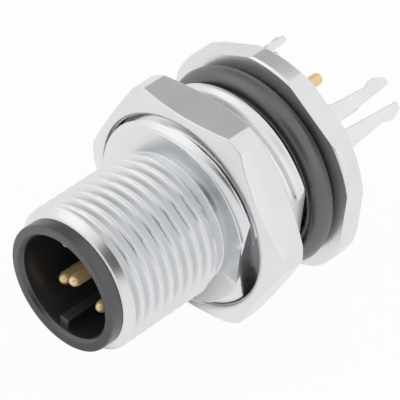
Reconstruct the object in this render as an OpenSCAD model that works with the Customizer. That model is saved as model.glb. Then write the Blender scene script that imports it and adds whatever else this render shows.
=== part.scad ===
// Panel-mount circular connector, M12 male, five contacts, screened, with
// solder tails and snap-in screen tabs for a circuit board.
// The connector axis runs along Y: the mating face looks towards -Y and the
// tails towards +Y. The origin is on the axis, in the face of the flange that
// seats on the panel. Threads are drawn at their major diameter.

/* [Housing] */
// Major diameter of the front thread, M12 x 1
front_thread_d = 12; // [11.5:0.1:12.5]
// Length of the front thread
front_thread_l = 9.5; // [7:0.1:11]
// Major diameter of the panel thread, M16 x 1.5
panel_thread_d = 16; // [15.6:0.1:16.4]
// Length of the panel thread
panel_thread_l = 6.8; // [5.5:0.1:9]
// Distance from the axis to the anti-rotation flat on the panel thread
thread_flat = 7.0; // [6.6:0.1:7.6]
// Diameter of the neck between the two threads
mid_neck_d = 10.8; // [10.6:0.1:11.4]
// Length of the neck between the two threads
mid_neck_l = 0.9; // [0.6:0.1:2]
// Diameter of the neck that carries the panel seal
seal_neck_d = 12.8; // [12.4:0.1:13.4]
// Length of the neck that carries the panel seal
seal_neck_l = 2.6; // [2.3:0.1:4]
// Width of the rear flange across its flats
flange_af = 18; // [17.5:0.1:20]
// Turned diameter that rounds the corners of the flange
flange_d = 19; // [18.6:0.1:20.5]
// Thickness of the flange
flange_t = 1.9; // [1.6:0.1:3]
// Bore that holds the contact carrier
front_bore_d = 9.7; // [9.5:0.1:9.9]
// Bore behind it, filled by the rear insert and the resin
rear_bore_d = 11.2; // [10.8:0.1:11.4]
// Depth of the recess for the screen ring in the rear face
ring_recess = 1.2; // [0.8:0.1:1.4]

/* [Contact carrier] */
// Diameter of the rim in front of the housing
rim_d = 10.56; // [10.4:0.02:10.7]
// Length of the rim in front of the housing
rim_l = 1.1; // [0.8:0.1:1.8]
// Bore that takes the mating connector
socket_d = 8.6; // [8.5:0.05:8.7]
// Depth of that bore from the rim
socket_depth = 8.8; // [8:0.1:9.5]
// Width of the coding key
key_w = 0.85; // [0.7:0.05:1.2]
// Distance from the axis to the top of the coding key
key_r = 3.45; // [3.3:0.05:3.8]
// Distance from the rim to the front of the coding key
key_back = 0.55; // [0.3:0.05:1.5]
// Y position of the carrier's rear face
carrier_rear = -6.5; // [-7:0.1:-6]

/* [Contacts] */
// Number of contacts on the circle, beside the one in the middle
ring_contacts = 4; // [3:1:4]
// Diameter of the circle that the contacts stand on
contact_pcd = 5.5; // [5.3:0.1:5.6]
// Contact diameter, the same at the pin and at the tail
contact_d = 1.0; // [0.8:0.1:1.0]
// Diameter of the shank between the carrier and the open end of the tail
shank_d = 1.3; // [1.1:0.1:1.4]
// Diameter of the collar that holds a contact in the carrier
collar_d = 1.6; // [1.4:0.1:1.7]
// Length of that collar
collar_l = 3; // [2:0.1:3.4]
// How far the outer pin tips stand back from the rim
tip_back = 1.9; // [1:0.1:3]
// How far the middle pin tip stands back from the rim
middle_tip_back = 0.9; // [0.5:0.1:3]
// Y position of the ends of the tails
tail_end = 8.9; // [6:0.1:12]

/* [Lock nut] */
// Width across the flats of the nut
nut_af = 18; // [17.8:0.1:20]
// Turned diameter that takes off the nut's corners
nut_d = 20; // [19:0.1:20.8]
// Diameter of the nut's flat faces, inside the chamfers
nut_crown_d = 17; // [16.8:0.1:18]
// Thickness of the nut
nut_t = 3.5; // [3:0.1:4]
// Y position of the nut's rear face along the thread
nut_rear = -5.0; // [-5.5:0.1:-3]
// How far the nut is turned from having a corner on +X
nut_turn = 6.5; // [0:0.5:60]
// Radial gap between the nut and the thread
nut_clearance = 0.05; // [0.02:0.01:0.1]

/* [Seals] */
// Section diameter of the panel seal
panel_seal_d = 2.05; // [1.8:0.05:2.2]
// Diameter at the bottom of the carrier's seal groove
groove_d = 8.0; // [7.8:0.1:8.4]
// Width of the carrier's seal groove
groove_w = 1.4; // [1.2:0.1:1.8]
// Y position of the middle of the groove
groove_y = -10.9; // [-11.2:0.1:-10.6]

/* [Screen ring] */
// Thickness of the sheet
sheet_t = 0.4; // [0.3:0.05:0.5]
// Outer diameter of the ring
ring_d = 14.4; // [14.2:0.1:14.6]
// Number of forked tabs
tabs = 3; // [2:1:4]
// Direction of the first tab, from +X towards +Z
first_tab = 45; // [0:5:90]
// Distance from the axis to the middle of a tab's thickness
tab_r = 6.75; // [6.6:0.05:6.9]
// Width of a tab where it leaves the ring
tab_w = 3.7; // [3:0.1:4]
// Inner radius of the bend between the ring and a tab
bend_r = 0.2; // [0.1:0.05:0.4]
// Width of the relief cut on each side of a bend
relief_w = 0.35; // [0.2:0.05:0.6]
// Y position of the tips of the tabs
tab_end = 9.2; // [6:0.1:12]

/* [Hidden] */
$fn = 96;
eps = 0.01;

// Stations along the axis, from the seating face of the flange
thread_rear = -seal_neck_l;
shoulder = thread_rear - panel_thread_l;
neck_front = shoulder - mid_neck_l;
housing_front = neck_front - front_thread_l;
rim_front = housing_front - rim_l;
socket_floor = rim_front + socket_depth;
recess_floor = flange_t - ring_recess;
bore_step = shoulder + 0.8;
insert_rear = carrier_rear + 2;
chamfer_m12 = 0.65;
chamfer_m16 = 0.8;

// Radii used in more than one place
r_m12 = front_thread_d / 2;
r_m16 = panel_thread_d / 2;
r_front_bore = front_bore_d / 2;
r_rear_bore = rear_bore_d / 2;
r_recess = ring_d / 2 + 0.1;
r_socket = socket_d / 2;
r_contact = contact_d / 2;

// Seal rings fill their grooves from wall to wall
r_panel_seal = panel_seal_d / 2;
r_carrier_seal = (front_bore_d - groove_d) / 4;

gold = [0.90, 0.72, 0.42];
nickel = [0.80, 0.81, 0.82];
black = [0.10, 0.10, 0.11];
grey_black = [0.22, 0.22, 0.23];
amber_black = [0.15, 0.13, 0.12];
tin = [0.74, 0.75, 0.76];

// Turns a shape built along Z so that it lies along Y
module along_y(y = 0) {
    translate([0, y, 0]) rotate([-90, 0, 0]) children();
}

// A body of revolution about Y, from [radius, y] points
module turned(points) {
    along_y() rotate_extrude() polygon(points);
}

// A bar of round section along Y, between two stations
module bar(r, y0, y1) {
    along_y(y0) cylinder(r = r, h = y1 - y0);
}

// Puts its children on the axis turned by an angle from +X towards +Z
module at_angle(a) {
    rotate([0, -a, 0]) children();
}

// ---------------------------------------------------------------- housing

// Outline of the housing in front of the flange
module housing_barrel() {
    turned([
        [0, housing_front],
        [r_m12 - chamfer_m12, housing_front],
        [r_m12, housing_front + chamfer_m12],
        [r_m12, neck_front - 0.4],
        [r_m12 - 0.4, neck_front],
        [mid_neck_d / 2, neck_front],
        [mid_neck_d / 2, shoulder],
        [r_m16 - chamfer_m16, shoulder],
        [r_m16, shoulder + chamfer_m16],
        [r_m16, thread_rear - 0.2],
        [r_m16 - 0.2, thread_rear],
        [seal_neck_d / 2, thread_rear],
        [seal_neck_d / 2, eps],
        [0, eps]
    ]);
}

// Hexagon with turned corners and broken edges
module flange() {
    intersection() {
        along_y() rotate([0, 0, 30])
            cylinder(d = flange_af / cos(30), h = flange_t, $fn = 6);
        turned([
            [0, 0], [flange_d / 2 - 0.15, 0], [flange_d / 2, 0.15],
            [flange_d / 2, flange_t - 0.3], [flange_d / 2 - 0.3, flange_t],
            [0, flange_t]
        ]);
    }
}

module housing() {
    color(nickel) difference() {
        union() {
            housing_barrel();
            flange();
        }
        // Through bore: carrier, rear insert, then the screen ring's recess
        turned([
            [0, housing_front - 1], [r_front_bore, housing_front - 1],
            [r_front_bore, bore_step], [r_rear_bore, bore_step],
            [r_rear_bore, recess_floor], [r_recess, recess_floor],
            [r_recess, flange_t + 1], [0, flange_t + 1]
        ]);
        // Anti-rotation flat along the panel thread, on the +X side
        translate([thread_flat, shoulder - 1, -r_m16])
            cube([r_m16, panel_thread_l + 1 + eps, 2 * r_m16]);
    }
}

// ---------------------------------------------------------------- carrier

// Angle of each contact on the circle, the key being at -Z
function contact_angle(i) = 45 + i * 360 / ring_contacts;

// Places children on every contact position
module each_contact() {
    for (i = [0 : ring_contacts - 1])
        at_angle(contact_angle(i)) translate([contact_pcd / 2, 0, 0]) children();
    children();
}

// Rib that codes the connector, standing in from the wall of the socket
module coding_key() {
    intersection() {
        bar(r_socket + 0.2, rim_front + key_back, socket_floor + eps);
        translate([-key_w / 2, rim_front, -r_socket - 0.2])
            cube([key_w, socket_depth + 1, r_socket + 0.2 - key_r]);
    }
}

module contact_carrier() {
    color(black) difference() {
        union() {
            difference() {
                turned([
                    [0, rim_front], [rim_d / 2 - 0.15, rim_front],
                    [rim_d / 2, rim_front + 0.15], [rim_d / 2, housing_front],
                    [r_front_bore, housing_front],
                    [r_front_bore, groove_y - groove_w / 2],
                    [groove_d / 2, groove_y - groove_w / 2],
                    [groove_d / 2, groove_y + groove_w / 2],
                    [r_front_bore, groove_y + groove_w / 2],
                    [r_front_bore, carrier_rear - 0.3],
                    [r_front_bore - 0.3, carrier_rear], [0, carrier_rear]
                ]);
                // Socket with a lead-in at its mouth
                turned([
                    [0, rim_front - 1], [r_socket + 0.25, rim_front - 1],
                    [r_socket + 0.25, rim_front], [r_socket, rim_front + 0.25],
                    [r_socket, socket_floor], [0, socket_floor]
                ]);
            }
            coding_key();
        }
        each_contact() {
            bar(r_contact, socket_floor - 1, carrier_rear + 1);
            bar(collar_d / 2, carrier_rear - collar_l, carrier_rear + 1);
        }
    }
}

module carrier_seal() {
    color(grey_black) along_y(groove_y)
        rotate_extrude() translate([groove_d / 2 + r_carrier_seal, 0])
            circle(r = r_carrier_seal, $fn = 32);
}

// Cup behind the carrier that spaces the tails
module rear_insert() {
    color(black) difference() {
        turned([
            [0, bore_step], [r_rear_bore, bore_step],
            [r_rear_bore, insert_rear], [0, insert_rear]
        ]);
        turned([
            [0, bore_step - 1], [r_front_bore, bore_step - 1],
            [r_front_bore, carrier_rear - 0.3],
            [r_front_bore - 0.3, carrier_rear], [0, carrier_rear]
        ]);
        each_contact() bar(shank_d / 2, carrier_rear - 1, insert_rear + 1);
    }
}

// Resin that closes the housing round the tails
module sealing_resin() {
    color(amber_black) difference() {
        bar(r_rear_bore, insert_rear, recess_floor);
        each_contact() bar(shank_d / 2, insert_rear - 1, recess_floor + 1);
    }
}

// ---------------------------------------------------------------- contacts

// Turned pin with round ends, the collar that seats in the carrier, and the
// shank that the resin holds
module contact(tip_y) {
    color(gold) {
        bar(r_contact, tip_y + r_contact, tail_end - r_contact);
        translate([0, tip_y + r_contact, 0]) sphere(r = r_contact, $fn = 48);
        translate([0, tail_end - r_contact, 0]) sphere(r = r_contact, $fn = 48);
        bar(collar_d / 2, carrier_rear - collar_l, carrier_rear);
        bar(shank_d / 2, carrier_rear - eps, recess_floor);
    }
}

// One of the contacts on the circle
module ring_contact(i) {
    at_angle(contact_angle(i)) translate([contact_pcd / 2, 0, 0])
        contact(rim_front + tip_back);
}

module contact_1() { ring_contact(0); }
module contact_2() { ring_contact(1); }
module contact_3() { ring_contact(2); }
module contact_4() { ring_contact(3); }
module contact_5() { contact(rim_front + middle_tip_back); }

// ------------------------------------------------------------- screen ring

// Stations of the bend: its centre beside the axis and along it
bend_x = tab_r - sheet_t / 2 - bend_r;
bend_y = recess_floor + sheet_t + bend_r;

// One prong of a forked tab: x across the tab, y along the connector
module prong_outline() {
    polygon([
        [0, bend_y], [tab_w / 2, bend_y], [tab_w / 2, 3.2],
        [tab_w / 2 - 0.35, tab_end - 1.9], [tab_w / 2 - 0.1, tab_end - 1.55],
        [tab_w / 2 - 0.1, tab_end - 0.9], [tab_w / 2 - 0.55, tab_end],
        [0.75, tab_end], [0.3, 2.7], [0, 2.4]
    ]);
}

// Forked tab that snaps into the board, standing beside the axis on +X, with
// the quarter bend that joins it to the ring
module screen_tab() {
    translate([tab_r - sheet_t / 2, 0, 0]) rotate([0, 90, 0])
        linear_extrude(sheet_t)
            for (side = [0, 1]) mirror([side, 0]) prong_outline();
    translate([bend_x, bend_y, 0]) rotate([0, 0, -90])
        rotate_extrude(angle = 90)
            translate([bend_r, -tab_w / 2]) square([sheet_t, tab_w]);
}

// Stamped ring with its tabs bent back through a right angle, each bend
// between two relief cuts
module screen_ring() {
    color(tin) {
        difference() {
            bar(ring_d / 2, recess_floor, recess_floor + sheet_t);
            bar(r_rear_bore + 0.3, recess_floor - 1, recess_floor + 1);
            for (i = [0 : tabs - 1])
                at_angle(first_tab + i * 360 / tabs)
                    translate([bend_x, recess_floor - 1, -tab_w / 2 - relief_w])
                        cube([ring_d, 2, tab_w + 2 * relief_w]);
        }
        for (i = [0 : tabs - 1])
            at_angle(first_tab + i * 360 / tabs) screen_tab();
    }
}

// ------------------------------------------------------------ seal and nut

// Ring seal squeezed between the flange and the panel
module panel_seal() {
    color(grey_black) along_y(-r_panel_seal)
        rotate_extrude() translate([seal_neck_d / 2 + r_panel_seal, 0])
            circle(r = r_panel_seal, $fn = 48);
}

// Hexagon nut with its corners turned off, chamfered outside at both faces
// and at both mouths of its bore
module lock_nut() {
    crown = nut_crown_d / 2;
    corner = nut_d / 2;
    rise = (corner - crown) * tan(23);
    front = nut_rear - nut_t;
    bore = r_m16 + nut_clearance;
    mouth = 0.15;
    color(nickel) difference() {
        intersection() {
            at_angle(nut_turn) along_y(front)
                cylinder(d = nut_af / cos(30), h = nut_t, $fn = 6);
            turned([
                [0, front], [crown, front], [corner, front + rise],
                [corner, nut_rear - rise], [crown, nut_rear], [0, nut_rear]
            ]);
        }
        turned([
            [0, front - 1], [bore + mouth, front - 1], [bore + mouth, front],
            [bore, front + mouth], [bore, nut_rear - mouth],
            [bore + mouth, nut_rear], [bore + mouth, nut_rear + 1],
            [0, nut_rear + 1]
        ]);
    }
}

housing();
contact_carrier();
carrier_seal();
rear_insert();
contact_1();
contact_2();
contact_3();
contact_4();
contact_5();
sealing_resin();
screen_ring();
panel_seal();
lock_nut();
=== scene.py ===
"""An M12 panel-mount connector: a nickel-plated body with two threads, a lock nut, a ring seal,
a moulded insert with gold-plated contacts, and a stamped screen contact with forked tabs.
Lengths are in millimetres unless a line says metres, and every angle runs from +X towards +Z
about the connector's axis, which is Y. The mating face looks towards -Y."""

import bmesh
import bpy
import numpy as np
from mathutils import Matrix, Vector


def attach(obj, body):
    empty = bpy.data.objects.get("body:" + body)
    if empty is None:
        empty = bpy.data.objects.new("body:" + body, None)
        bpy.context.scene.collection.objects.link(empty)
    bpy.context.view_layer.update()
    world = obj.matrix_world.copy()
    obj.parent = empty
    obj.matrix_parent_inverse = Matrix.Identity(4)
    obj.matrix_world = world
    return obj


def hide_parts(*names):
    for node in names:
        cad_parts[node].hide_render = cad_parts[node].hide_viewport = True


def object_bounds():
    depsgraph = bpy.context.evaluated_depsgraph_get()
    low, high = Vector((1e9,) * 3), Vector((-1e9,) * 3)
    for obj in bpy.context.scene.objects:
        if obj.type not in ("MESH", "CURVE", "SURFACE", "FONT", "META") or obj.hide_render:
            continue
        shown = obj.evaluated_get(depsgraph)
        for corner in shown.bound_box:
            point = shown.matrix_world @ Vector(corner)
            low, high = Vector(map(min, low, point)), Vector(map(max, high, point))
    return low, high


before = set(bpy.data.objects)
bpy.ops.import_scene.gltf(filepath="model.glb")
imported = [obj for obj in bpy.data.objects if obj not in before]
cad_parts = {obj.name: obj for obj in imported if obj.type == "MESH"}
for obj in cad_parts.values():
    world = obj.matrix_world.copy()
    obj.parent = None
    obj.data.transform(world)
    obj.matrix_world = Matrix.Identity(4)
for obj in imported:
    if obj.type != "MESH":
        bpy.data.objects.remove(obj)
cad_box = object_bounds()

# ---------------------------------------------------------------- housing
# One piece turned from brass bar, with a milled hexagon and flat, then nickel plated.
# M12 x 1 and M16 x 1.5 threads are cut between the turned necks; the rear flange
# seats on the panel behind the ring seal.

MM = 0.001
CORNER_ROWS = 4


def around(count, *extra):
    """Angles once round the axis: `count` even steps, and extra ones where an edge has to fall."""
    even = np.linspace(0, 2 * np.pi, count, endpoint=False)
    return np.unique(np.round(np.concatenate((even, *extra)) % (2 * np.pi), 6))


def ring(radius, y, angle):
    """Profile corner at every angle: (radius, y) pairs, each either one number or one per angle."""
    return np.stack(np.broadcast_arrays(radius, y, angle)[:2], axis=-1).astype(float)


def rounded(outline, angle):
    """A closed profile through (radius, y, size) corners, at every angle. Each corner becomes
    CORNER_ROWS points of the quadratic curve from the point `size` before it to the point `size`
    after it, never past 0.45 of either side."""
    corners = np.array([ring(radius, y, angle) for radius, y, _ in outline])
    size = np.array([size for _, _, size in outline])[:, None]
    ends = []
    for step in (1, -1):
        side = np.roll(corners, step, axis=0) - corners
        length = np.linalg.norm(side, axis=-1)
        reach = np.minimum(size, 0.45 * length) / np.maximum(length, 1e-9)
        ends.append(corners + side * reach[..., None])
    rows = [(1 - t) ** 2 * ends[0] + 2 * t * (1 - t) * corners + t * t * ends[1]
            for t in np.linspace(0, 1, CORNER_ROWS)]
    return np.stack(rows, axis=1).reshape(-1, *corners.shape[1:])


def wrapped(profile, angle):
    """Carries (radius, y) rows round the axis: x = radius cos(angle), z = radius sin(angle)."""
    radius, y = profile[..., 0], profile[..., 1]
    return np.stack((radius * np.cos(angle), y, radius * np.sin(angle)), axis=-1)


def quads(rows, places, rows_meet=False, places_meet=False):
    """Four-sided faces over a grid of numbered points: each joins a point to the next place, the
    next row's next place and the next row. A direction whose ends meet wraps round."""
    i, j = np.meshgrid(
        np.arange(rows if rows_meet else rows - 1),
        np.arange(places if places_meet else places - 1), indexing="ij")
    k, l = (i + 1) % rows, (j + 1) % places
    corners = (i * places + j, i * places + l, k * places + l, k * places + j)
    return np.stack(corners, axis=-1).reshape(-1, 4)


def finished(mesh, shell, material, crease=None, merge=0.0002):
    """An object whose mesh is the shell's surface. Points closer than `merge` become one, edges
    left without a face go, and an edge that turns by more than `crease` degrees is sharp."""
    bmesh.ops.remove_doubles(shell, verts=shell.verts, dist=merge * MM)
    bmesh.ops.delete(shell, geom=[e for e in shell.edges if not e.link_faces], context="EDGES")
    bmesh.ops.recalc_face_normals(shell, faces=shell.faces)
    shell.to_mesh(mesh)
    shell.free()
    mesh.shade_smooth()
    if crease:
        mesh.set_sharp_from_angle(angle=np.radians(crease))
    mesh.materials.append(material)
    piece = bpy.data.objects.new(mesh.name, mesh)
    bpy.context.collection.objects.link(piece)
    return piece


def skin(name, points, material, ends_meet=True, crease=32):
    """A closed surface over rows of points, each row a loop round the axis. The last row joins
    the first where the ends meet; otherwise both end rows have shrunk to a point on the axis."""
    faces = quads(*points.shape[:2], rows_meet=ends_meet, places_meet=True)
    mesh = bpy.data.meshes.new(name)
    mesh.from_pydata((points * MM).reshape(-1, 3), [], faces.tolist())
    shell = bmesh.new()
    shell.from_mesh(mesh)
    return finished(mesh, shell, material, crease)


# Shares of a 60 degree thread's pitch: the flat crest, the flank's run, the cut's depth and the
# reach along the axis over which rolling rounds its corners
CREST, FLANK, DEPTH, ROUNDING = 0.125, 0.354, 0.6134, 0.08


def thread_depth(y, angle, pitch, start):
    """Depth below the crests of a right-hand thread, as a share of its full depth. The ramp
    runs from a crest of pitch/8 down a flank of 0.354 pitch to the root, and the mean over a
    short span along the axis rounds both corners."""
    total = 0.0
    shifts = np.linspace(-ROUNDING, ROUNDING, 7)
    for shift in shifts:
        turn = (y - start) / pitch + angle / (2 * np.pi) + shift
        away = np.abs(turn - np.floor(turn) - 0.5) * 2
        total = total + np.clip((away - CREST) / (2 * FLANK), 0, 1)
    return total / len(shifts)


def threaded(y_ends, envelope, crest, pitch, per_pitch, angle, inward=True, start=0.0,
             cut_share=((0, 1),)):
    """Rows of a thread between two stations, `per_pitch` of them a turn. Cut inward, it is the
    crest's radius less the cut, or the envelope where that is lower; cut outward, the envelope
    plus the cut. The share of the full depth follows (place, share) pairs along the axis."""
    count = int(round((y_ends[1] - y_ends[0]) / pitch * per_pitch))
    y = np.linspace(y_ends[0], y_ends[1], count + 2)[1:-1, None]
    cut = DEPTH * pitch * thread_depth(y, angle[None, :], pitch, start)
    cut = cut * np.interp(y, *np.transpose(cut_share))
    rim = np.interp(y, *np.transpose(envelope))
    radius = np.minimum(crest - cut, rim) if inward else rim + cut
    return np.stack(np.broadcast_arrays(radius, y), axis=-1)


def hexagon_radius(angle, across, first_flat, corner):
    """Radius of a hexagon with rounded corners, measured along each angle. On a flat it is
    across/2 / cos(a), a from the flat's middle; near a corner it is the far crossing with the
    rounding circle, c cos(b) + sqrt(corner^2 - c^2 sin^2(b)), b from the corner's direction."""
    step = np.pi / 3
    a = (angle - first_flat + step / 2) % step - step / 2
    b = np.abs(a) - step / 2
    centre = (across / 2 - corner) / np.cos(step / 2)
    tangent = np.arctan2(centre * np.sin(step / 2), across / 2)
    inside = np.maximum(corner**2 - (centre * np.sin(b)) ** 2, 0)
    near_corner = centre * np.cos(b) + np.sqrt(inside)
    return np.where(np.abs(a) < tangent, across / 2 / np.cos(a), near_corner)


def shader_group(name, inputs, outputs):
    """An empty shader node group with named sockets: (name, default) in, plain names out. An
    input without a default is a vector."""
    group = bpy.data.node_groups.new(name, "ShaderNodeTree")
    for label, value in inputs:
        kind = "NodeSocketVector" if value is None else "NodeSocketFloat"
        socket = group.interface.new_socket(name=label, in_out="INPUT", socket_type=kind)
        if value is not None:
            socket.default_value = value
    for label in outputs:
        group.interface.new_socket(name=label, in_out="OUTPUT", socket_type="NodeSocketFloat")
    return group, group.nodes.new("NodeGroupInput"), group.nodes.new("NodeGroupOutput")


def maths(tree, operation, first, second=None):
    """A Math node whose inputs are sockets or numbers; returns its output."""
    node = tree.nodes.new("ShaderNodeMath")
    node.operation = operation
    for socket, value in zip(node.inputs, (first, second)):
        if isinstance(value, (int, float)):
            socket.default_value = value
        elif value is not None:
            tree.links.new(value, socket)
    return node.outputs[0]


def noise(tree, vector, scale, detail=2.0, roughness=0.5):
    """A Noise Texture's value on a vector socket."""
    node = tree.nodes.new("ShaderNodeTexNoise")
    node.inputs["Scale"].default_value = scale
    node.inputs["Detail"].default_value = detail
    node.inputs["Roughness"].default_value = roughness
    tree.links.new(vector, node.inputs["Vector"])
    return node.outputs["Fac"]


def turning_marks():
    """Fine rings left by a cutting tool. The pattern is noise over (distance from the axis,
    place along the axis), with almost no change round the axis, so it gives rings on a face
    and hoops on a barrel. Marks is the height, Tone a slow change between bands."""
    group, given, out = shader_group(
        "Turning marks", [("Vector", None), ("Marks per mm", 12.0)], ["Marks", "Tone"])
    split = group.nodes.new("ShaderNodeSeparateXYZ")
    group.links.new(given.outputs["Vector"], split.inputs[0])
    x, y, z = split.outputs
    squared = [maths(group, "MULTIPLY", side, side) for side in (x, z)]
    away = maths(group, "SQRT", maths(group, "ADD", *squared))
    drift = maths(group, "MULTIPLY", maths(group, "SINE", maths(group, "ARCTAN2", z, x)), 0.6)
    per_metre = maths(group, "MULTIPLY", given.outputs["Marks per mm"], 1000.0)
    pattern = group.nodes.new("ShaderNodeCombineXYZ")
    group.links.new(maths(group, "MULTIPLY", away, per_metre), pattern.inputs[0])
    group.links.new(maths(group, "MULTIPLY", y, per_metre), pattern.inputs[1])
    group.links.new(drift, pattern.inputs[2])
    group.links.new(noise(group, pattern.outputs[0], 1.0, 3.0, 0.6), out.inputs["Marks"])
    group.links.new(noise(group, pattern.outputs[0], 0.12, 1.0), out.inputs["Tone"])
    return group


def surface_bloom():
    """Soft cloudy patches of a surface: noise over the object, once coarse and once fine.
    Cloud is the patchiness, Specks a thin scatter of small points."""
    group, given, out = shader_group(
        "Plating bloom", [("Vector", None), ("Patch size", 3.0)], ["Cloud", "Specks"])
    scaled = group.nodes.new("ShaderNodeVectorMath")
    scaled.operation = "SCALE"
    group.links.new(given.outputs["Vector"], scaled.inputs[0])
    per_metre = maths(group, "DIVIDE", 1000.0, given.outputs["Patch size"])
    group.links.new(per_metre, scaled.inputs["Scale"])
    group.links.new(noise(group, scaled.outputs[0], 1.0, 3.0), out.inputs["Cloud"])
    fine = noise(group, scaled.outputs[0], 14.0, 1.0)
    group.links.new(maths(group, "GREATER_THAN", fine, 0.72), out.inputs["Specks"])
    return group


TURNING = turning_marks()
BLOOM = surface_bloom()


def placed(tree, group, vector, label, value):
    """Puts a shader group in a material, fed by the object coordinates, with its own value."""
    node = tree.nodes.new("ShaderNodeGroup")
    node.node_tree = group
    tree.links.new(vector, node.inputs["Vector"])
    node.inputs[label].default_value = value
    return node.outputs


def blank_material(name):
    """A material with its Principled shader and the object coordinates."""
    material = bpy.data.materials.new(name)
    material.use_nodes = True
    tree = material.node_tree
    coordinates = tree.nodes.new("ShaderNodeTexCoord").outputs["Object"]
    return material, tree, tree.nodes["Principled BSDF"], coordinates


def toned(tree, shader, tone, dull, bright, sheen, smooth, rough):
    """Colour runs from dull to bright with one mask, roughness from smooth to rough with
    another."""
    colour = tree.nodes.new("ShaderNodeMix")
    colour.data_type = "RGBA"
    colour.inputs["A"].default_value = (*dull, 1)
    colour.inputs["B"].default_value = (*bright, 1)
    tree.links.new(tone, colour.inputs["Factor"])
    tree.links.new(colour.outputs["Result"], shader.inputs["Base Color"])
    gloss = tree.nodes.new("ShaderNodeMapRange")
    gloss.inputs["To Min"].default_value = smooth
    gloss.inputs["To Max"].default_value = rough
    tree.links.new(sheen, gloss.inputs["Value"])
    tree.links.new(gloss.outputs["Result"], shader.inputs["Roughness"])


def bumped(tree, shader, height, strength, distance):
    """Feeds a height, `distance` mm from its lowest to its highest, to the shader's normal."""
    node = tree.nodes.new("ShaderNodeBump")
    node.inputs["Strength"].default_value = strength
    node.inputs["Distance"].default_value = distance * MM
    tree.links.new(height, node.inputs["Height"])
    tree.links.new(node.outputs["Normal"], shader.inputs["Normal"])


def plated_metal(name, dull, bright, smooth, rough, marks_per_mm, relief, metal=1.0):
    """Turned and plated metal: colour drifts between two tones with the cloud of the plating,
    roughness with the tool's bands, and the tool marks stand as a shallow relief."""
    material, tree, shader, coordinates = blank_material(name)
    marks = placed(tree, TURNING, coordinates, "Marks per mm", marks_per_mm)
    cloud = placed(tree, BLOOM, coordinates, "Patch size", 3.0)["Cloud"]
    shader.inputs["Metallic"].default_value = metal
    bands = maths(tree, "MULTIPLY", marks["Tone"], 0.6)
    uneven = maths(tree, "ADD", bands, maths(tree, "MULTIPLY", cloud, 0.4))
    toned(tree, shader, cloud, dull, bright, uneven, smooth, rough)
    bumped(tree, shader, marks["Marks"], 0.35, relief)
    return material


nickel = plated_metal("Bright nickel", (0.70, 0.71, 0.72), (0.80, 0.81, 0.82), 0.21, 0.36, 9.0, 0.004)

# Places along the axis, front to rear; the flange's front face is at 0
FRONT, NECK, SHOULDER, STEP, THREAD_END = -19.8, -10.3, -9.4, -8.6, -2.6
RECESS_FLOOR, FLANGE_REAR = 0.7, 1.9
# Radii outside, front to rear, and the milled flat's distance from the axis
MOUTH_R, M12_R, RUN_OUT_R, NECK_R, CHAMFER_R, M16_R = 5.35, 6.0, 5.6, 5.4, 7.35, 8.0
THREAD_END_R, SEAL_NECK_R, FRONT_LAND, FLANGE_R, REAR_LAND = 7.8, 6.4, 9.35, 9.5, 9.2
FLAT, ACROSS_FLATS = 7.0, 18.0
# Radii inside: the insert's bore, the cast part of the bore and the rear recess
BORE, CAST_R, RECESS_R = 4.85, 5.6, 7.3


def chamfer(radius, land):
    """Drop of a 45 degree chamfer at each radius outside its land, and 0.05 inside it."""
    return np.where(radius > land, radius - land, 0.05)


flat_edge = np.arccos(FLAT / M16_R)
arc_edge = np.arccos(ACROSS_FLATS / 2 / FLANGE_R)
flats = np.arange(6)[:, None] * np.pi / 3
angle = around(240, [flat_edge, -flat_edge], (flats + [-arc_edge, arc_edge]).ravel())
flange = np.minimum(hexagon_radius(angle, ACROSS_FLATS, 0.0, 0.2), FLANGE_R)
turned = rounded((
    (BORE, FRONT, 0.05), (MOUTH_R, FRONT, 0.05),
    (RUN_OUT_R, NECK, 0.05), (NECK_R, NECK, 0.12), (NECK_R, SHOULDER, 0.12), (CHAMFER_R, SHOULDER, 0.08),
    (THREAD_END_R, THREAD_END, 0.08), (SEAL_NECK_R, THREAD_END, 0.2), (SEAL_NECK_R, 0.0, 0.15),
    (np.minimum(flange, FRONT_LAND), 0.0, 0.03), (flange, chamfer(flange, FRONT_LAND), 0.08),
    (flange, FLANGE_REAR - chamfer(flange, REAR_LAND), 0.1),
    (np.minimum(flange, REAR_LAND), FLANGE_REAR, 0.08),
    (RECESS_R, FLANGE_REAR, 0.08), (RECESS_R, RECESS_FLOOR, 0.05), (CAST_R, RECESS_FLOOR, 0.05),
    (CAST_R, STEP, 0.05), (BORE, STEP, 0.05),
), angle)
m12 = threaded(
    (FRONT + 0.05, NECK - 0.05),
    ((FRONT, MOUTH_R), (FRONT + 0.65, M12_R), (NECK - 0.4, M12_R), (NECK, RUN_OUT_R)),
    M12_R, 1.0, 20, angle, start=0.2, cut_share=((FRONT + 0.55, 0), (FRONT + 0.95, 1)))
m16 = threaded(
    (SHOULDER + 0.05, THREAD_END - 0.08),
    ((SHOULDER, CHAMFER_R), (SHOULDER + 0.65, M16_R), (THREAD_END - 0.2, M16_R), (THREAD_END, THREAD_END_R)),
    M16_R, 1.5, 24, angle, start=1.245, cut_share=((-6.5, 1), (-5.0, 0.35)))
# The threads go in behind the two corners of the mouth and the four up to the shoulder's chamfer
mouth, middle, rear = np.split(turned, [2 * CORNER_ROWS, 6 * CORNER_ROWS])
profile = np.concatenate((mouth, m12, middle, m16, rear))
# The flat is milled along the panel thread: no point there lies further out than FLAT
radius, y = profile[..., 0], profile[..., 1]
milled = (y > SHOULDER - 0.01) & (y < THREAD_END + 0.3) & (radius > SEAL_NECK_R - 0.1)
reach = FLAT / np.maximum(np.cos(angle), 0.2)
profile[..., 0] = np.where(milled, np.minimum(radius, reach), radius)

housing = skin("housing_turned", wrapped(profile, angle), nickel, crease=38)
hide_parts("housing")
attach(housing, "connector")

# ---------------------------------------------------------------- lock nut
# Hexagon nut, 18 across the flats, turned and milled from brass bar and nickel plated.
# Its corners are turned off to 20 mm and chamfered at both faces, and it runs on the
# panel thread.

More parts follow.
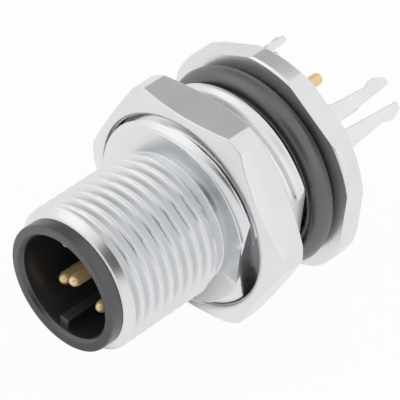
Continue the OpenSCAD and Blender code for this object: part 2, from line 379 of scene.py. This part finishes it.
NUT_FRONT, NUT_REAR, NUT_TURN = -8.5, -5.0, np.radians(6.5)
NUT_R, CROWN_R, COUNTERSINK_R, NUT_BORE = 10.0, 8.5, 8.25, 8.05
CHAMFER_SLOPE = 0.4245
corner_edge = np.pi / 6 - np.arccos(ACROSS_FLATS / 2 / NUT_R)
close_by = corner_edge * np.array([-1.1, -1, -0.9, 0, 0.9, 1, 1.1])
angle = around(216, (NUT_TURN + flats + close_by).ravel())
hexagon = np.minimum(hexagon_radius(angle, ACROSS_FLATS, NUT_TURN + np.pi / 6, 0.05), NUT_R)
drop = (hexagon - CROWN_R) * CHAMFER_SLOPE
turned = rounded((
    (COUNTERSINK_R, NUT_FRONT, 0.05), (CROWN_R, NUT_FRONT, 0.08), (hexagon, NUT_FRONT + drop, 0.08),
    (hexagon, NUT_REAR - drop, 0.08), (CROWN_R, NUT_REAR, 0.08), (COUNTERSINK_R, NUT_REAR, 0.05),
    (NUT_BORE, NUT_REAR - 0.2, 0.05), (NUT_BORE, NUT_FRONT + 0.2, 0.05),
), angle)
bore = threaded(
    (NUT_FRONT + 0.28, NUT_REAR - 0.28), ((0, NUT_BORE + 0.01),),
    NUT_BORE, 1.5, 22, angle, inward=False, cut_share=((0, 0.35),))
outside, last_corner = np.split(turned, [7 * CORNER_ROWS])
profile = np.concatenate((outside, bore[::-1], last_corner))
lock_nut = skin("lock_nut_hexagon", wrapped(profile, angle), nickel, crease=30)
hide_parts("lock_nut")
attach(lock_nut, "nut")

# ---------------------------------------------------------------- panel seal
# Moulded nitrile ring, 2 mm in section, stretched over the neck in front of the flange.
# A fine parting line runs round it where the halves of the mould met.


def moulded(name, dull, bright, smooth, rough, patch, ior, grain, strength, relief):
    """Rubber or plastic from a mould: a slow drift in colour and sheen over an even, fine grain.
    `patch` is the drift's size, `grain` the number of grains in a metre."""
    material, tree, shader, coordinates = blank_material(name)
    cloud = placed(tree, BLOOM, coordinates, "Patch size", patch)["Cloud"]
    toned(tree, shader, cloud, dull, bright, cloud, smooth, rough)
    shader.inputs["IOR"].default_value = ior
    bumped(tree, shader, noise(tree, coordinates, grain, 2.0), strength, relief)
    return material


nitrile = moulded(
    "Nitrile rubber", (0.030, 0.031, 0.033), (0.042, 0.043, 0.046), 0.28, 0.42,
    patch=2.0, ior=2.1, grain=9000.0, strength=0.25, relief=0.006)

SEAL_SECTION, PARTING_LINE = 2.05, 0.015


def ring_seal(name, middle, y):
    """A torus: radius = middle + s cos(a), y = y + s sin(a), where s is half the section on the
    parting lines at a = 0 and a = 180 degrees, and the height of the line less elsewhere."""
    a = np.linspace(0, 2 * np.pi, 40, endpoint=False)[:, None]
    angle = np.linspace(0, 2 * np.pi, 160, endpoint=False)
    line = np.exp(-((np.sin(a) / 0.12) ** 2))
    s = SEAL_SECTION / 2 - PARTING_LINE + PARTING_LINE * line
    profile = ring(middle + s * np.cos(a), y + s * np.sin(a), angle)
    return skin(name, wrapped(profile, angle), nitrile, crease=60)


panel_seal = ring_seal("panel_seal_ring", SEAL_NECK_R + SEAL_SECTION / 2, -SEAL_SECTION / 2)
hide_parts("panel_seal")
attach(panel_seal, "connector")

# ---------------------------------------------------------------- contact carrier
# Insulator moulded in black polyamide, pressed into the body from the front.
# Its rim stands out in front of the body, and a rib in the socket codes the connector.

black_polyamide = moulded(
    "Black polyamide", (0.016, 0.017, 0.021), (0.023, 0.025, 0.030), 0.26, 0.38,
    patch=4.0, ior=1.9, grain=14000.0, strength=0.2, relief=0.003)

RIM, GROOVE_FRONT, GROOVE_REAR, CARRIER_REAR, FLOOR = -20.9, -11.6, -10.2, -6.5, -12.1
RIM_R, GROOVE_R, SOCKET = 5.28, 4.0, 4.3
KEY_HALF, KEY_TOP, KEY_FRONT, KEY_EASE = 0.425, 3.45, RIM + 0.55, 0.08
key_edge = np.arcsin(KEY_HALF / SOCKET)
# Angles from the key's middle at -Z: a dense fan over the key, then round the rest
fan = np.linspace(-key_edge, key_edge, 31)
rest = np.linspace(key_edge, 2 * np.pi - key_edge, 170)[1:-1]
angle = np.concatenate((fan, rest)) - np.pi / 2
# Over the fan the keyed loop goes up one side of the rib, across its top and down the other,
# each corner of the top eased: (place across, distance down from the axis)
side = np.linspace(SOCKET * np.cos(key_edge), KEY_TOP + KEY_EASE, 9)
turn = np.linspace(0, np.pi / 2, 5)[1:]
half = np.concatenate((
    ring(-KEY_HALF, side, side),
    ring(-KEY_HALF + KEY_EASE * (1 - np.cos(turn)), KEY_TOP + KEY_EASE * (1 - np.sin(turn)), turn),
    ring(np.linspace(-KEY_HALF + KEY_EASE, 0, 4)[1:-1], KEY_TOP, np.zeros(2)),
))
loop = np.concatenate((half, [[0, KEY_TOP]], half[::-1] * (-1, 1)))
across = np.concatenate((loop[:, 0], SOCKET * np.sin(rest)))
down = np.concatenate((loop[:, 1], SOCKET * np.cos(rest)))
keyed_radius = np.hypot(across, down)
keyed_angle = np.arctan2(across, down) - np.pi / 2

# From the rim over the outside to the rear; the two corners at GROOVE_R / 2 only close the outline
outer = rounded((
    (4.55, RIM, 0.08), (RIM_R, RIM, 0.12), (RIM_R, FRONT, 0.05), (BORE, FRONT, 0.05),
    (BORE, GROOVE_FRONT, 0.05), (GROOVE_R, GROOVE_FRONT, 0.05),
    (GROOVE_R, GROOVE_REAR, 0.05), (BORE, GROOVE_REAR, 0.05), (BORE, CARRIER_REAR, 0.2),
    (GROOVE_R / 2, CARRIER_REAR, 0.05), (GROOVE_R / 2, FLOOR + 0.1, 0.05), (SOCKET, RIM + 0.25, 0.06),
), angle)
shell = [*wrapped(outer[:9 * CORNER_ROWS], angle), wrapped(ring(0.0, CARRIER_REAR, angle), angle)]
mouth = [*wrapped(outer[11 * CORNER_ROWS:], angle), wrapped(ring(SOCKET, KEY_FRONT, angle), angle)]
rib = [wrapped(ring(keyed_radius, y, angle), keyed_angle)
       for y in (KEY_FRONT, KEY_FRONT + 0.05, -16.0, FLOOR - 0.12, FLOOR)]
# The rib's front edge leans back a little towards the wall
rib[0] = 0.97 * rib[0] + 0.03 * mouth[-1]
floor = [wrapped(ring(radius, FLOOR, angle), angle) for radius in (3.3, 0.0)]
loops = floor[::-1] + rib[::-1] + mouth[::-1] + shell
carrier = skin("carrier_moulded", np.array(loops), black_polyamide, ends_meet=False, crease=35)
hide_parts("contact_carrier")
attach(carrier, "connector")

# ---------------------------------------------------------------- contacts
# Five pins turned from brass and gold plated: four on a 5.5 mm circle and one in the middle,
# which stands 1 mm further forward. Each runs through the insert to its solder tail.

gold = plated_metal(
    "Gold plate", (1.00, 0.68, 0.34), (1.00, 0.80, 0.46), 0.30, 0.42, 14.0, 0.010, metal=0.50)

PIN_R, COLLAR_R, SHANK_R = 0.5, 0.8, 0.65
TIP_LONG, TAIL_LONG, COLLAR_FRONT, TAIL_END = 0.62, 0.5, CARRIER_REAR - 3, 8.9


def contact(name, x, z, tip):
    """A turned pin about its own axis at (x, z). Both ends are half ellipses, radius = PIN_R
    cos(t) and place = end + long (1 - sin(t)); between them stand the collar and the shank."""
    t = np.linspace(np.pi / 2, 0, 10)
    front = np.stack((PIN_R * np.cos(t), tip + TIP_LONG * (1 - np.sin(t))), axis=-1)
    collar = [(PIN_R, COLLAR_FRONT), (COLLAR_R, COLLAR_FRONT), (COLLAR_R, CARRIER_REAR)]
    shank = [(SHANK_R, CARRIER_REAR), (SHANK_R, RECESS_FLOOR), (PIN_R, RECESS_FLOOR)]
    back = np.stack((PIN_R * np.cos(t), TAIL_END - TAIL_LONG * (1 - np.sin(t))), axis=-1)[::-1]
    angle = np.linspace(0, 2 * np.pi, 40, endpoint=False)
    radius, y = np.concatenate((front, collar, shank, back)).T[..., None]
    points = wrapped(ring(radius, y, angle), angle) + (x, 0, z)
    return skin(name, points, gold, ends_meet=False, crease=30)


places = [np.radians(45 + 90 * i) for i in range(4)]
centres = [(2.75 * np.cos(a), 2.75 * np.sin(a)) for a in places] + [(0.0, 0.0)]
for number, (x, z) in enumerate(centres, start=1):
    pin = contact(f"pin_{number}", x, z, RIM + (0.9 if number == 5 else 1.9))
    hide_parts(f"contact_{number}")
    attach(pin, "connector")

# ---------------------------------------------------------------- resin
# The back of the body is cast full of black resin, which creeps up the wall and the tails.


def cast_resin():
    """Cast resin: near black, glossy, with a slow ripple."""
    material, tree, shader, coordinates = blank_material("Cast resin")
    bloom = placed(tree, BLOOM, coordinates, "Patch size", 2.5)
    toned(tree, shader, bloom["Cloud"], (0.016, 0.014, 0.013), (0.026, 0.023, 0.021),
          bloom["Specks"], 0.16, 0.5)
    bumped(tree, shader, bloom["Cloud"], 0.3, 0.05)
    return material


CAST_FRONT, CAST_WALL, SINK, CREEP, FADE = -4.5, CAST_R - 0.02, 0.17, 0.22, 0.25
angle = np.linspace(0, 2 * np.pi, 180, endpoint=False)
spread = np.sin(np.linspace(0, np.pi / 2, 64))[:, None] * CAST_WALL
x, z = spread * np.cos(angle), spread * np.sin(angle)
# The face sinks by SINK, and rises by CREEP at the wall and at each tail: exp(-distance / FADE)
rise = np.exp(-(CAST_WALL - spread) / FADE) + 0 * angle
for cx, cz in centres:
    distance = np.maximum(np.hypot(x - cx, z - cz) - PIN_R, 0)
    rise = np.maximum(rise, np.exp(-distance / FADE))
face = np.stack((x, RECESS_FLOOR - SINK + CREEP * rise, z), axis=-1)
back = wrapped(np.array([ring(radius, CAST_FRONT, angle) for radius in (CAST_WALL, 0.0)]), angle)
resin = skin("resin_cast", np.concatenate((face, back)), cast_resin(), ends_meet=False, crease=40)
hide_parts("sealing_resin")
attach(resin, "connector")

# ---------------------------------------------------------------- screen contact
# Stamped from 0.4 mm brass strip and tin plated: a flat ring pressed into the rear recess,
# with three forked tabs bent back through a right angle that snap into the board.


def tin_plate():
    """Tin-plated strip: pale satin metal, with fine rolling lines and a soft bloom."""
    material, tree, shader, coordinates = blank_material("Tin plate")
    cloud = placed(tree, BLOOM, coordinates, "Patch size", 1.5)["Cloud"]
    shader.inputs["Metallic"].default_value = 1.0
    toned(tree, shader, cloud, (0.74, 0.75, 0.76), (0.84, 0.845, 0.85), cloud, 0.28, 0.42)
    stretched = tree.nodes.new("ShaderNodeMapping")
    stretched.inputs["Scale"].default_value = (9000, 300, 9000)
    tree.links.new(coordinates, stretched.inputs["Vector"])
    bumped(tree, shader, noise(tree, stretched.outputs[0], 1.0, 2.0), 0.2, 0.004)
    return material


SHEET, BEND, TAB_R, TAB_END = 0.4, 0.2, 6.75, 9.2
RING_IN, RING_OUT, TAB_HALF, RELIEF_CUT = 5.9, 7.2, 1.85, 0.35
tabs = np.radians([45, 165, 285])
flat_y = RECESS_FLOOR + SHEET / 2
slot = np.arcsin((TAB_HALF + RELIEF_CUT) / RING_OUT)
# The middle surface of a tab, (distance from the axis, place along it): from the ring's inner
# edge out to the bend, round it on its mean radius, and back along the tab
bend_x, bend_y, bend_r = TAB_R - SHEET / 2 - BEND, RECESS_FLOOR + SHEET + BEND, BEND + SHEET / 2
turn = np.linspace(0, np.pi / 2, 9)
straight = np.concatenate(([2.0], np.linspace(2.4, TAB_END, 33)))
away, along = np.concatenate((
    ring(RING_IN + 0.05, flat_y, np.zeros(1)),
    ring(bend_x + bend_r * np.sin(turn), bend_y - bend_r * np.cos(turn), turn),
    ring(TAB_R, straight, straight),
)).T[..., None]
# Half widths along the tab: its hooked outer edge, and the slot that parts its two prongs
outer_edge = np.interp(along, [3.2, 7.3, 7.65, 8.3, TAB_END], [TAB_HALF, 1.5, 1.75, 1.75, 1.3])
inner_edge = np.interp(along, [2.39, 2.4, 2.7, TAB_END], [0, 0, 0.3, 0.75])
prong = inner_edge + (outer_edge - inner_edge) * np.linspace(0, 1, 7)

grids = []
for a in tabs:
    for sense in (-1, 1):
        x = away * np.cos(a) - sense * prong * np.sin(a)
        z = away * np.sin(a) + sense * prong * np.cos(a)
        grids.append(np.stack(np.broadcast_arrays(x, along, z), axis=-1))
for a in tabs:
    # The flat ring up to the next tab's relief cut, then the narrow web behind the bend
    angle = np.linspace(a + slot, a + 2 * np.pi / 3 - slot, 40)
    grids.append(wrapped(ring(np.linspace(RING_IN, RING_OUT, 4)[:, None], flat_y, angle), angle))
    angle = np.linspace(a - slot, a + slot, 13)
    far = np.minimum(bend_x / np.cos(angle - a), RING_OUT)
    grids.append(wrapped(ring(np.stack((far * 0 + RING_IN, far)), flat_y, angle), angle))
first = np.cumsum([0] + [grid[..., 0].size for grid in grids])
faces = [n + quads(*grid.shape[:2]) for n, grid in zip(first, grids)]
# The second half of each tab mirrors the first, so its faces are turned round
faces[1:2 * len(tabs):2] = [half[:, ::-1] for half in faces[1:2 * len(tabs):2]]
# The faces are made in turn, because how the seams between the grids merge hangs on their order
sheet = bmesh.new()
points = [sheet.verts.new(point * MM) for grid in grids for point in grid.reshape(-1, 3)]
for face in np.concatenate(faces):
    sheet.faces.new([points[number] for number in face])
screen = finished(bpy.data.meshes.new("screen_stamped"), sheet, tin_plate(), merge=0.002)
thick = screen.modifiers.new("Sheet", "SOLIDIFY")
thick.thickness = SHEET * MM
thick.offset = 0.0
soften = screen.modifiers.new("Edges", "BEVEL")
soften.width = 0.04 * MM
soften.segments = 2
soften.limit_method = "ANGLE"
soften.angle_limit = np.radians(50)
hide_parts("screen_ring")
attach(screen, "connector")

# ---------------------------------------------------------------- inner pieces
# The ring seal between insert and body, and the moulded cup that spaces the tails, are shut in.

for node, material in (("carrier_seal", nitrile), ("rear_insert", black_polyamide)):
    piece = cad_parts[node]
    piece.data.materials.clear()
    piece.data.materials.append(material)

# ---------------------------------------------------------------- floor and light
# A plain pale floor at the height of the flange's lowest corner, a white tent round the object
# that is open in front and behind, where the metal mirrors the dark, and two broad soft lamps.


def ray_masks(tree):
    """Two masks: the ray comes from the camera; it was mirrored or went through something."""
    path = tree.nodes.new("ShaderNodeLightPath").outputs
    passed_on = maths(tree, "MAXIMUM", path["Is Glossy Ray"], path["Is Transmission Ray"])
    return path["Is Camera Ray"], passed_on


def smooth_step(tree, value, start, end, first=0.0, last=1.0):
    """`first` up to `start`, `last` from `end` on, and a smooth run between the two."""
    node = tree.nodes.new("ShaderNodeMapRange")
    node.interpolation_type = "SMOOTHSTEP"
    ends = {"From Min": start, "From Max": end, "To Min": first, "To Max": last}
    for label, number in ends.items():
        node.inputs[label].default_value = number
    tree.links.new(value, node.inputs["Value"])
    return node.outputs["Result"]


def shown(tree, share, first, second, output):
    """Mixes two shaders by a share and puts the result on the tree's output."""
    mixed = tree.nodes.new("ShaderNodeMixShader")
    for socket, source in zip(mixed.inputs, (share, first.outputs[0], second.outputs[0])):
        tree.links.new(source, socket)
    tree.links.new(mixed.outputs[0], tree.nodes[output].inputs["Surface"])


WHITE_SHARE = 0.95
# Painted shade strip under the front thread, where the metal mirrors the floor without its
# white glow: (axis, middle, half its size), and how far it fades out
PAINTED_SHADE_STRIP, PAINTED_SHADE_FADE = (("X", -3.0, 3.5), ("Y", -14.0, 14.0)), 4.5


def pale_floor():
    """Matt near-white. Seen directly, or mirrored in the metal, WHITE_SHARE of it is plain
    white; but in the painted shade strip under the front thread, mirrored rays get no white, so
    the metal mirrors the floor's own shading and real shadow there, darker than elsewhere."""
    material = bpy.data.materials.new("Pale floor")
    material.use_nodes = True
    tree = material.node_tree
    matt = tree.nodes["Principled BSDF"]
    matt.inputs["Base Color"].default_value = (0.9, 0.9, 0.9, 1)
    matt.inputs["Roughness"].default_value = 0.9
    matt.inputs["Specular IOR Level"].default_value = 0.0
    white = tree.nodes.new("ShaderNodeEmission")
    white.inputs["Strength"].default_value = 1.0
    place = tree.nodes.new("ShaderNodeSeparateXYZ")
    tree.links.new(tree.nodes.new("ShaderNodeTexCoord").outputs["Object"], place.inputs[0])
    outside = []
    for axis, middle, half in PAINTED_SHADE_STRIP:
        offset = maths(tree, "SUBTRACT", place.outputs[axis], middle * MM)
        outside.append(maths(tree, "SUBTRACT", maths(tree, "ABSOLUTE", offset), half * MM))
    # Painted shade: mirrored rays lose the white glow inside the strip, fading out beside it, so the metal
    # mirrors the floor's real shading and shadow there
    glow_outside_painted_shade = smooth_step(tree, maths(tree, "MAXIMUM", *outside), 0.0, PAINTED_SHADE_FADE * MM)
    camera_ray, mirrored = ray_masks(tree)
    seen = maths(tree, "MAXIMUM", camera_ray, maths(tree, "MULTIPLY", mirrored, glow_outside_painted_shade))
    shown(tree, maths(tree, "MULTIPLY", seen, WHITE_SHARE), matt, white, "Material Output")
    return material


grid = np.linspace(-1.5, 1.5, 5)
x, y = np.meshgrid(grid, grid, indexing="ij")
floor_points = np.stack((x, y, 0 * x + cad_box[0][2]), axis=-1).reshape(-1, 3)
floor_mesh = bpy.data.meshes.new("floor")
floor_mesh.from_pydata(floor_points, [], quads(5, 5)[:, ::-1].tolist())
floor_mesh.materials.append(pale_floor())
floor_piece = bpy.data.objects.new("floor", floor_mesh)
bpy.context.collection.objects.link(floor_piece)

world = bpy.data.worlds.new("Room")
bpy.context.scene.world = world
world.use_nodes = True
tree = world.node_tree
room = tree.nodes["Background"]
room.inputs["Color"].default_value = (0.75, 0.76, 0.78, 1)
room.inputs["Strength"].default_value = 0.9
tent = tree.nodes.new("ShaderNodeBackground")
tent.inputs["Color"].default_value = (1, 1, 1, 1)
direction = tree.nodes.new("ShaderNodeTexCoord").outputs["Generated"]


def gap(toward, inner, outer, level):
    """Brightness of the tent where it is open towards a direction: `level` within `inner`
    degrees of it, rising smoothly to 1 at `outer` degrees."""
    facing = tree.nodes.new("ShaderNodeVectorMath")
    facing.operation = "DOT_PRODUCT"
    facing.inputs[1].default_value = np.array(toward) / np.linalg.norm(toward)
    tree.links.new(direction, facing.inputs[0])
    near, far = np.cos(np.radians((inner, outer)))
    return smooth_step(tree, facing.outputs["Value"], far, near, 1.0, level)


open_front = gap((0.37, -0.81, 0.46), 13, 26, 0.04)
open_back = gap((-0.62, 0.55, 0.56), 8, 40, 0.52)
camera_ray, mirrored = ray_masks(tree)
brightness = maths(tree, "MAXIMUM", maths(tree, "MULTIPLY", open_front, open_back), camera_ray)
tree.links.new(brightness, tent.inputs["Strength"])
shown(tree, maths(tree, "MAXIMUM", camera_ray, mirrored), room, tent, "World Output")


def aimed(item, place, aim, roll=0.0):
    """Puts a lamp or camera at a place, looking at a point, both in metres. Its X is level, but
    for the roll that turns it about its line of sight: X = level cos + over sin."""
    holder = bpy.data.objects.new(item.name, item)
    bpy.context.collection.objects.link(holder)
    back = np.subtract(place, aim)
    back = back / np.linalg.norm(back)
    level = np.cross((0, 0, 1), back)
    level = level / np.linalg.norm(level)
    over = np.cross(back, level)
    right = level * np.cos(roll) + over * np.sin(roll)
    up = over * np.cos(roll) - level * np.sin(roll)
    rows = np.stack((right, up, back, place), axis=1).tolist()
    holder.matrix_world = Matrix([*rows, (0, 0, 0, 1)])
    return holder


def soft_lamp(name, place, size, power):
    """A square area lamp at a place in metres, turned to face the object."""
    lamp = bpy.data.lights.new(name, "AREA")
    lamp.size = size
    lamp.energy = power
    aimed(lamp, place, (0, 0, 0))


soft_lamp("key", (-0.60, -0.45, 0.55), 0.80, 0.5)
soft_lamp("fill", (0.80, 0.10, 0.45), 0.80, 0.2)

# ---------------------------------------------------------------- camera
# A long lens from the front right, above, turned a little about its own line of sight.

camera = bpy.data.cameras.new("camera")
camera.sensor_width = 36.0
camera.lens = 310.47
camera.clip_start = 0.01
camera.clip_end = 20.0
DISTANCE, AIM = 261.118 * MM, np.array((0.0, -6.303, -0.266)) * MM
azimuth, elevation, roll = np.radians((-50.222, 44.387, 6.524))
level_out = np.cos(elevation)
toward_eye = np.array((level_out * np.cos(azimuth), level_out * np.sin(azimuth), np.sin(elevation)))
bpy.context.scene.camera = aimed(camera, AIM + DISTANCE * toward_eye, AIM, roll)
bpy.context.scene.view_settings.view_transform = "Standard"
